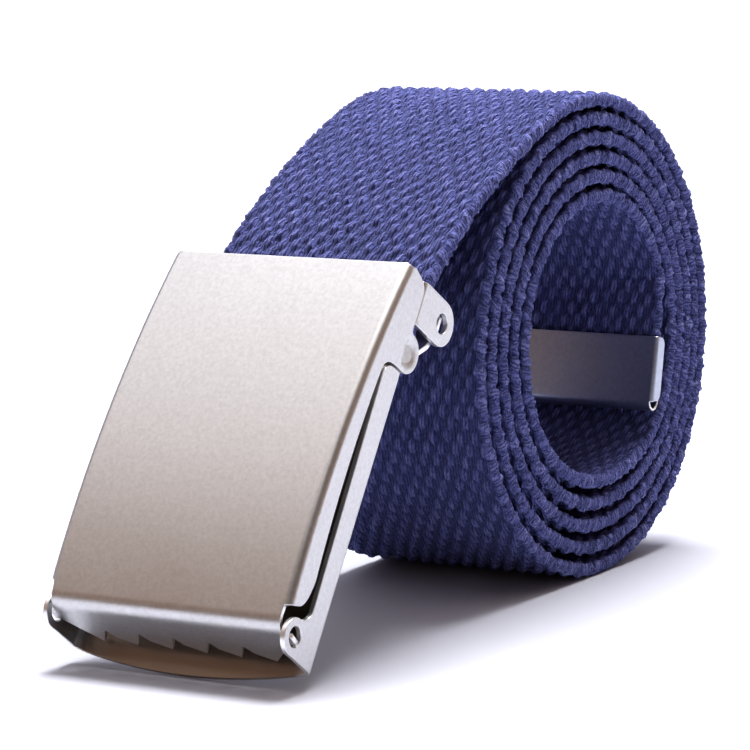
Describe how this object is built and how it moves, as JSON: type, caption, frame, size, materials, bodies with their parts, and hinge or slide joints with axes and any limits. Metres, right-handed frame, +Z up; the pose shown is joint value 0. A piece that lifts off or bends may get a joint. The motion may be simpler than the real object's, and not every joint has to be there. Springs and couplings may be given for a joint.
{
  "type": "canvas web belt with a flip-top buckle",
  "caption": "Rolled cotton webbing belt standing on its coil, with a flip-top toothed cover buckle at one end and a folded metal tip at the other.",
  "frame": {"origin": "on the floor, under the middle of the box of the whole belt", "axes": "+X across the webbing, the buckle towards -Y, +Z up"},
  "size_m": [0.0412, 0.132, 0.0762],
  "materials": {
    "cotton_webbing": "coarse plain-woven cotton webbing, navy, matt",
    "tip_metal": "satin nickel plate",
    "frame_metal": "satin nickel plate",
    "cover_metal": "fine blasted satin nickel plate",
    "jaw_metal": "satin nickel plate"
  },
  "bodies": {
    "strap_and_frame": {"webbing": "cotton_webbing", "strap_tip": "tip_metal", "buckle_frame": "frame_metal", "strap_jaw": "jaw_metal"},
    "cover": {"buckle_cover": "cover_metal"}
  },
  "joints": [
    {"name": "cover_hinge", "type": "hinge", "parent": "strap_and_frame", "child": "cover", "pos_m": [0, -0.0632, 0.00838], "axis": [1, 0, 0], "range_deg": [0, 105]}
  ]
}
